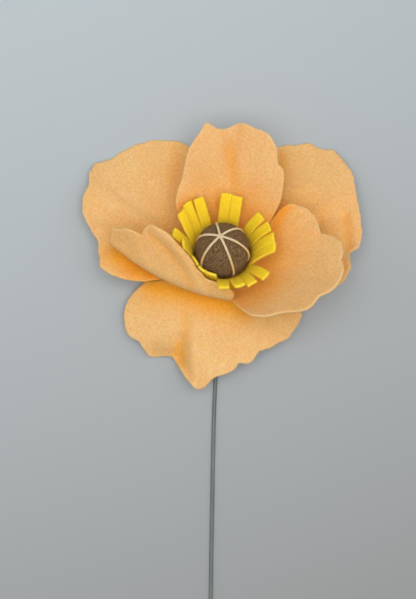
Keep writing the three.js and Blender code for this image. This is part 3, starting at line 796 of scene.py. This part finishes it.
def make_ball():
    """The ball's surface: a slightly lumpy sphere with a furrow along every strand."""
    down, around = np.meshgrid(np.linspace(0, math.pi, BALL_DOWN + 1)[1:-1],
                               np.arange(BALL_AROUND) * 2 * math.pi / BALL_AROUND, indexing="ij")
    sideways, upwards = across_pole()
    directions = ((np.sin(down) * np.cos(around))[..., None] * sideways
                  + (np.sin(down) * np.sin(around))[..., None] * upwards
                  + np.cos(down)[..., None] * THREAD_POLE)
    directions = np.concatenate([THREAD_POLE[None], directions.reshape(-1, 3), -THREAD_POLE[None]])
    beside = np.min([strand_distance(directions * BALL_RADIUS, azimuth)
                     for azimuth in THREAD_AZIMUTHS], axis=0)
    lumps = sum(height * rough(directions, scale) for height, scale in zip(LUMP_HEIGHTS, LUMP_SCALES))
    radius = BALL_RADIUS - LUMPS_LOWERED + lumps - PRESSED * np.exp(-((beside / PRESSED_WIDTH) ** 2))
    furrow = THREAD_PATH_RADIUS - np.sqrt(np.maximum(FURROW_RADIUS**2 - beside**2, 0))
    radius = np.where(beside < FURROW_RADIUS, np.minimum(radius, furrow), radius)
    faces = []
    for ring in range(BALL_DOWN - 2):
        for k in range(BALL_AROUND):
            a, b = 1 + ring * BALL_AROUND + k, 1 + ring * BALL_AROUND + (k + 1) % BALL_AROUND
            faces.append((a, a + BALL_AROUND, b + BALL_AROUND, b))
    last = 1 + (BALL_DOWN - 2) * BALL_AROUND
    for k in range(BALL_AROUND):
        faces.append((0, 1 + k, 1 + (k + 1) % BALL_AROUND))
        faces.append((last + BALL_AROUND, last + (k + 1) % BALL_AROUND, last + k))
    piece = mesh_object("ball_wool", from_head(directions * radius[:, None]), faces, ball_look)
    set_attribute(piece, "fuzz", smooth((beside - SMOOTHED_DOWN) / SMOOTHED_EDGE))
    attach(piece, "root")
    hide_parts("ball")
    haze = fibres_on(piece, ball_haze, per_mm2=2.2, length=1.6, width=0.05, lean=62,
                     lean_spread=24, seed=71)


def needle_pits(tree, place, face, height):
    """A pit wherever the felting needle went in, sunk in the relief and darkened with painted shade."""
    pits = ranged(tree, noise_node(tree, place, 1700, 1), 0.5, 0.68)
    return tinted(tree, pits, face, (0.3, 0.24, 0.2)), math_node(tree, "SUBTRACT", height, pits)


ball_look = wool_material(
    "ball_wool", colour=(0.185, 0.098, 0.042), deep=(0.078, 0.036, 0.014), pale=(0.56, 0.37, 0.18),
    fibres=0.55, bump=0.4, sheen=0.3, glow=0.0, over=needle_pits)
ball_haze = wool_material(
    "ball_fibres", colour=(0.22, 0.125, 0.06), deep=(0.12, 0.06, 0.025), pale=(0.55, 0.38, 0.22),
    fibres=0.5, bump=0.02, sheen=0.3, glow=0.0)
make_ball()

# ------------------------------------------------------------------ thread
# Thick cream cotton thread of three twisted plies, wound round the ball through both poles
# and pulled tight, so that it lies in the wool and its strands cross at the top.

STRAND_STEPS = 150
PLY_RADIUS = 0.34
PLY_OFFSET = 0.33
TWIST_LENGTH = 4.2
# Over these degrees the thread takes on painted shade and gold light thrown back by the fringe.
WARMER_FROM, WARMER_OVER = 25, 45  # degrees down from the pole


def make_plied_thread():
    """Turns guide edges into thread: three plies twisted about each guide."""
    tree, given, end = node_group(
        "Geometry", "plied_thread",
        {"Guides": "Geometry", "Ply Radius": "Float", "Ply Offset": "Float",
         "Twist Length": "Float", "Material": "Material"},
        {"Thread": "Geometry"})
    guides = add_node(tree, "GeometryNodeMeshToCurve", Mesh=given["Guides"])
    reach = tree.nodes.new("GeometryNodeSplineParameter")
    turns = math_node(tree, "DIVIDE", reach.outputs["Length"], given["Twist Length"])
    twisted = add_node(tree, "GeometryNodeSetCurveTilt", Curve=guides.outputs["Curve"],
                       Tilt=math_node(tree, "MULTIPLY", turns, 2 * math.pi))
    centres = add_node(tree, "GeometryNodeMeshCircle", Vertices=3, Radius=given["Ply Offset"])
    ply = add_node(tree, "GeometryNodeCurvePrimitiveCircle", Resolution=8, Radius=given["Ply Radius"])
    plies = add_node(tree, "GeometryNodeInstanceOnPoints", Points=centres.outputs["Mesh"],
                     Instance=ply.outputs["Curve"])
    profile = add_node(tree, "GeometryNodeRealizeInstances", Geometry=plies.outputs["Instances"])
    swept = add_node(tree, "GeometryNodeCurveToMesh", Curve=twisted.outputs["Curve"],
                     Profile_Curve=profile.outputs["Geometry"], Fill_Caps=True)
    rounded = add_node(tree, "GeometryNodeSetShadeSmooth", Geometry=swept.outputs["Mesh"])
    end_group(tree, rounded.outputs["Geometry"], given, end)
    return tree


def grown_along(name, routes, tree, values):
    """What a Geometry Nodes tree makes along routes of points, in millimetres."""
    edges, first = [], 0
    for route in routes:
        edges += [(first + k, first + k + 1) for k in range(len(route) - 1)]
        first += len(route)
    mesh = bpy.data.meshes.new(name + "_guides")
    mesh.from_pydata((np.concatenate(routes) * MM).tolist(), edges, [])
    return grown(name, mesh, tree, values)


def strand_route(azimuth):
    """A strand's middle line on the ball, in the object's frame."""
    angles = np.radians(np.linspace(*THREAD_ANGLES, STRAND_STEPS + 1))[:, None]
    around = np.cos(angles) * THREAD_POLE + np.sin(angles) * strand_heading(azimuth)
    return from_head(THREAD_PATH_RADIUS * around)


def make_thread():
    """All the strands, with how far down the ball each point of them lies."""
    routes = [strand_route(azimuth) for azimuth in THREAD_AZIMUTHS]
    piece = grown_along("thread_strands", routes, make_plied_thread(), {
        "Ply Radius": PLY_RADIUS * MM, "Ply Offset": PLY_OFFSET * MM,
        "Twist Length": TWIST_LENGTH * MM, "Material": thread_look})
    pole = unit(from_head(THREAD_POLE) - HEAD_CENTRE)
    outward = unit(np.array([vertex.co for vertex in piece.data.vertices]) / MM - HEAD_CENTRE)
    down = np.degrees(np.arccos(outward @ pole))
    set_attribute(piece, "far_down", smooth((down - WARMER_FROM) / WARMER_OVER))
    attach(piece, "root")
    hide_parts("thread_wrap")


def thread_painted_bounce(tree, place, face, height):
    """Lower down the ball the cream is tinted gold: painted shade and light thrown back by the fringe."""
    return tinted(tree, stored(tree, "far_down")["Fac"], face, (0.98, 0.8, 0.5)), height


thread_look = wool_material(
    "cream_thread", colour=(0.86, 0.72, 0.45), deep=(0.68, 0.48, 0.24), pale=(0.96, 0.88, 0.68),
    fibres=0.5, bump=0.08, sheen=0.1, glow=0.15, over=thread_painted_bounce)
make_thread()

# ------------------------------------------------------------------ fringe
# The stamens: one strip of thin golden felt, slit into fingers along its upper half, wound
# round the ball and glued, with its cut fingers bent outwards.

FRINGE_THICKNESS = 1.5
FRINGE_RADIUS = 15.4
FRINGE_FOOT = -14.8
FRINGE_SLIT_START = -4.5
FINGER_LENGTH = 18.5
FINGER_TIP_WIDTH = 5
FINGER_CURL = 18  # a finger starts this much steeper than its mean slope, and ends as much flatter
FINGER_STEEPEST = 86
FINGER_UNEVEN = 0.5  # how much the cut fingers differ in length
FINGER_CUP = 0.35  # how far the middle of a finger stands out from its sides
FINGER_ROWS = 26
FINGER_COLUMNS = 8
FINGER_HALF_BASE = 9.5  # degrees of the wound strip
FINGER_WIDEST_PITCH = 25  # degrees between neighbours; past it a stretch of strip is bare
SLIT_ANGLE = 1.4
SEAM_AZIMUTH = 104.5  # where the two ends of the strip meet
SEAM_ANGLE = 2
BAND_ROWS = 10
BAND_HEIGHT = FRINGE_SLIT_START - FRINGE_FOOT
STRIP_HEIGHT = 29  # the felt's own height, to which its fibres are measured
FINGERS_APART = 7  # keeps the fibres of one finger from running on into the next
# In order along the strip: azimuth at the root, azimuth of the tip, mean slope, length.
FINGERS = [
    (119.6, 116, 46, 18.5), (138.5, 128, 40, 18.5), (157.5, 141, 50, 18.5), (176.5, 170, 59, 18.5),
    (195.5, 186, 74, 16), (214, 211, 84, 10), (232.5, 232, 84, 9), (251, 250, 80, 10),
    (269.5, 271, 54, 18.5), (288, 289, 54, 18.5), (307, 302, 48, 18.5), (325, 319, 44, 18.5),
    (343, 352.5, 53, 18.5), (363, 364, 55, 18.5), (382, 378, 60, 18.5), (400, 394, 63, 18.5),
    (429.5, 433, 52, 18.5), (449, 445, 50, 18.5),
]


def finger_edges(index):
    """The two edges of a finger at the strip, in degrees."""
    azimuth = FINGERS[index][0]
    edges = [azimuth - FINGER_HALF_BASE, azimuth + FINGER_HALF_BASE]
    for side, other in ((0, index - 1), (1, index + 1)):
        if 0 <= other < len(FINGERS) and abs(FINGERS[other][0] - azimuth) <= FINGER_WIDEST_PITCH:
            half_slit = SLIT_ANGLE / 2 if side == 0 else -SLIT_ANGLE / 2
            edges[side] = (azimuth + FINGERS[other][0]) / 2 + half_slit
    return edges


def strip_place(azimuth, out, height):
    """Points at a distance out from the head's axis."""
    angle = np.radians(azimuth)
    return np.stack(np.broadcast_arrays(out * np.cos(angle), out * np.sin(angle), height), -1)


def finger_grid(index):
    """The middle of one finger and the strip below it, from the strip's foot to the cut tip."""
    left, right = finger_edges(index)
    _, tip, slope, full_length = FINGERS[index]
    start = min(slope + FINGER_CURL, FINGER_STEEPEST)
    end = 2 * slope - start
    tip_radius = FRINGE_RADIUS + full_length * math.cos(math.radians(slope))
    half_tip = math.degrees(FINGER_TIP_WIDTH / 2 / tip_radius)
    across = np.linspace(0, 1, FINGER_COLUMNS + 1)
    base = left + (right - left) * across
    far = tip - half_tip + 2 * half_tip * across
    length = full_length + FINGER_UNEVEN * noise.noise(Vector((index * 3.1, 2, 0)))
    step = length / FINGER_ROWS
    along = np.arange(1, FINGER_ROWS + 1) / FINGER_ROWS
    angles = np.radians(start + (end - start) * (along - 0.5 / FINGER_ROWS))
    out = FRINGE_RADIUS + np.cumsum(step * np.cos(angles))
    height = FRINGE_SLIT_START + np.cumsum(step * np.sin(angles))
    azimuth = base[:, None] + (far - base)[:, None] * along[None]
    cup = FINGER_CUP * math.sin(index * 2.3) * (1 - (2 * across - 1) ** 2)[:, None] * along[None]
    finger = strip_place(azimuth, out[None] + cup, height[None] + 0 * azimuth)
    foot = np.linspace(FRINGE_FOOT, FRINGE_SLIT_START, BAND_ROWS + 1)
    band = strip_place(base[:, None] + 0 * foot[None], FRINGE_RADIUS, foot[None])
    return np.concatenate([band, finger], axis=1)


def joined(left, right):
    """The quads between the band's points of one column and those of the next."""
    return [(left + row, right + row, right + row + 1, left + row + 1) for row in range(BAND_ROWS)]


def fringe_shape():
    """The middle of the whole strip: its points, its quads, and where each point is along and
    across its finger, in millimetres."""
    seams = [SEAM_AZIMUTH + SEAM_ANGLE / 2, SEAM_AZIMUTH + 360 - SEAM_ANGLE / 2]
    foot = np.linspace(FRINGE_FOOT, FRINGE_SLIT_START, BAND_ROWS + 1)
    ends = [strip_place(azimuth + 0 * foot, FRINGE_RADIUS, foot)[None] for azimuth in seams]
    grids = [*ends, *(finger_grid(index) for index in range(len(FINGERS)))]
    numbers = [90, 91, *range(len(FINGERS))]
    starts = np.cumsum([0] + [grid.shape[0] * grid.shape[1] for grid in grids])
    places, quads, before = [], [], 0
    for grid, number in zip(grids, numbers):
        across = np.linspace(-FINGER_TIP_WIDTH / 2, FINGER_TIP_WIDTH / 2, grid.shape[0])[:, None]
        along = np.linspace(0, STRIP_HEIGHT, grid.shape[1])[None]
        place = np.stack(np.broadcast_arrays(across, along, number * FINGERS_APART), -1)
        places.append(place.reshape(-1, 3))
    for grid, first in zip(grids[2:], starts[2:]):
        quads += joined(before, first) + (grid_quads(*grid.shape[:2]) + first).tolist()
        before = first + FINGER_COLUMNS * grid.shape[1]
    quads += joined(before, starts[1])
    return np.concatenate([grid.reshape(-1, 3) for grid in grids]), np.array(quads), places


def make_fringe():
    """The whole strip as one sheet, with what its finish follows, and its haze."""
    middle, quads, places = fringe_shape()
    piece, edge = felt_sheet("fringe_felt", from_head(middle), quads, FRINGE_THICKNESS,
                             fringe_look, edge_width=0.7)
    place = np.concatenate(places * 2)
    place = np.concatenate([place, place[edge]])
    run = piece.data.attributes.new("finger_run", "FLOAT_VECTOR", "POINT")
    run.data.foreach_set("vector", (place * MM).astype(np.float32).ravel())
    set_attribute(piece, "toward_tip", np.clip((place[:, 1] - BAND_HEIGHT) / FINGER_LENGTH, 0, 1))
    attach(piece, "root")
    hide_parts("fringe")
    haze = fibres_on(piece, fringe_haze, per_mm2=0.9, length=1.1, width=0.045, lean=70,
                     lean_spread=16, seed=83)


def finger_lines(tree, place, face, height):
    """Fibres that run along the fingers, and painted shade that makes the felt darker and greener by the
    ball.
    """
    lines = ranged(tree, stretched_noise(tree, stored(tree, "finger_run")["Vector"], (0, 0, 0),
                                         3200, 14), 0.36, 0.64)
    striped = mixed(tree, math_node(tree, "MULTIPLY", lines, 0.3), face, (0.8, 0.44, 0.01, 1))
    # Painted shade: the felt turns darker and greener from the tips down to the ball.
    down = math_node(tree, "SUBTRACT", 1, stored(tree, "toward_tip")["Fac"])
    shade = math_node(tree, "MULTIPLY", down, 0.32)
    return mixed(tree, shade, striped, (0.5, 0.29, 0.012, 1)), height


fringe_look = wool_material(
    "fringe_felt", colour=(1.0, 0.74, 0.03), deep=(0.97, 0.63, 0.014), pale=(1.0, 0.84, 0.08),
    fibres=0.35, bump=0.14, sheen=0.05, glow=0.3, edge=(1.0, 0.8, 0.08), over=finger_lines)
fringe_haze = wool_material(
    "fringe_fibres", colour=(0.96, 0.7, 0.06), deep=(0.92, 0.6, 0.04), pale=(0.98, 0.82, 0.16),
    fibres=0.3, bump=0.02, sheen=0.3, glow=0.0)
make_fringe()

# ------------------------------------------------------------------ backing disc
# A small disc of the petals' felt, cut by hand, with a hole for the wire. It is glued over
# the petals' roots behind the flower and hides where they meet.

DISC_RADIUS = 11.5
DISC_HOLE_RADIUS = 1.3
DISC_TOP = -19.5
DISC_THICKNESS = 1.2
DISC_SNIPS = 0.3  # how unevenly its edge is cut
DISC_COLUMNS = 120
DISC_ROWS = 12


def make_disc():
    """The disc, a ring of felt about the wire's hole, and its haze."""
    turn = np.arange(DISC_COLUMNS) * 2 * math.pi / DISC_COLUMNS
    snips = np.array([noise.noise(Vector((2.2 * math.cos(at), 2.2 * math.sin(at), 5))) for at in turn])
    outer = DISC_RADIUS - DISC_SNIPS / 2 + DISC_SNIPS * snips
    part = np.linspace(0, 1, DISC_ROWS + 1)
    reach = DISC_HOLE_RADIUS + (outer[:, None] - DISC_HOLE_RADIUS) * part[None]
    middle = strip_place(np.degrees(turn)[:, None], reach, DISC_TOP - DISC_THICKNESS / 2 + 0 * reach)
    quads = grid_quads(DISC_COLUMNS + 1, DISC_ROWS + 1)[:, ::-1] % (DISC_COLUMNS * (DISC_ROWS + 1))
    piece, _ = felt_sheet("backing_disc_felt", from_head(middle.reshape(-1, 3)), quads,
                          DISC_THICKNESS, petal_felt)
    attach(piece, "root")
    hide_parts("backing_disc")
    haze = fibres_on(piece, petal_haze, per_mm2=0.55, length=1.5, width=0.05, lean=76,
                     lean_spread=12, seed=97)


make_disc()

# ------------------------------------------------------------------ stem
# A stiff florist's wire with a smooth grey-green coating. It is pushed up into the ball,
# leaves the head through the felt, and bends once to lie along the floor.

WIRE_RADIUS = 1
WIRE_HEIGHTS = [-6, -11, -16, -22]  # in the head, from the wire's end to where it starts to bend
WIRE_BEND_RADIUS = 8
WIRE_BEND_STEPS = 5
WIRE_FLOOR_ROUTE = [(-0.6, -26), (-2, -48), (-3.8, -79), (-5, -130), (-5.8, -183), (-6.4, -238)]
WIRE_STEPS = 24  # between one point of the route and the next


def wire_route():
    """The wire's middle line, in the object's frame."""
    points = list(from_head([(0, 0, height) for height in WIRE_HEIGHTS]) - HEAD_CENTRE * (1, 1, 0))
    first = math.pi / 2 - HEAD_TILT
    straight = points[-1][2] - WIRE_RADIUS - WIRE_BEND_RADIUS * (1 - math.cos(first))
    bend_y = points[-1][1] - straight / math.tan(first)
    for step in range(WIRE_BEND_STEPS + 1):
        dip = first * (1 - step / WIRE_BEND_STEPS)
        points.append(np.array([0, bend_y - WIRE_BEND_RADIUS * (math.sin(first) - math.sin(dip)),
                                WIRE_RADIUS + WIRE_BEND_RADIUS * (1 - math.cos(dip))]))
    points += [np.array([x, y, WIRE_RADIUS]) for x, y in WIRE_FLOOR_ROUTE]
    points = [2 * points[0] - points[1], *points, 2 * points[-1] - points[-2]]
    route = []
    for p0, p1, p2, p3 in zip(points, points[1:], points[2:], points[3:]):
        d0, d1, d2 = (math.sqrt(np.linalg.norm(b - a)) for a, b in ((p0, p1), (p1, p2), (p2, p3)))
        leave = d1 * ((p1 - p0) / d0 - (p2 - p0) / (d0 + d1) + (p2 - p1) / d1)
        arrive = d1 * ((p2 - p1) / d1 - (p3 - p1) / (d1 + d2) + (p3 - p2) / d2)
        for t in np.arange(WIRE_STEPS) / WIRE_STEPS:
            route.append(p1 + leave * t + (3 * (p2 - p1) - 2 * leave - arrive) * t**2
                         + (2 * (p1 - p2) + leave + arrive) * t**3)
    return np.array([*route, points[-2]]) + HEAD_CENTRE * (1, 1, 0)


def make_coated_wire():
    """Turns a route's edges into a round wire with closed ends."""
    tree, given, end = node_group(
        "Geometry", "coated_wire",
        {"Route": "Geometry", "Radius": "Float", "Sides": "Int", "Material": "Material"},
        {"Wire": "Geometry"})
    route = add_node(tree, "GeometryNodeMeshToCurve", Mesh=given["Route"])
    profile = add_node(tree, "GeometryNodeCurvePrimitiveCircle", Resolution=given["Sides"],
                       Radius=given["Radius"])
    swept = add_node(tree, "GeometryNodeCurveToMesh", Curve=route.outputs["Curve"],
                     Profile_Curve=profile.outputs["Curve"], Fill_Caps=True)
    end_group(tree, swept.outputs["Mesh"], given, end)
    return tree


def make_stem():
    """The wire along its whole route."""
    piece = grown_along("stem_wire", [wire_route()], make_coated_wire(), {
        "Radius": WIRE_RADIUS * MM, "Sides": 24, "Material": wire_look})
    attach(piece, "root")
    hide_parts("stem")


def wire_material():
    """A satin coating, faintly mottled and rubbed, drawn out along the wire."""
    made, tree, shader, place = new_material("coated_wire")
    patches = ranged(tree, stretched_noise(tree, place, (0, 0, 0), 420, 7), 0.35, 0.65)
    grain = ranged(tree, noise_node(tree, place, 3500, 2), 0.35, 0.65)
    feed(tree, shader["Base Color"], mixed(tree, patches, (0.118, 0.15, 0.135, 1),
                                           (0.155, 0.185, 0.17, 1)))
    feed(tree, shader["Roughness"], math_node(tree, "MULTIPLY_ADD", grain, 0.15, 0.42))
    raise_relief(tree, shader, grain, 0.5, 0.03)
    return made


wire_look = wire_material()
make_stem()
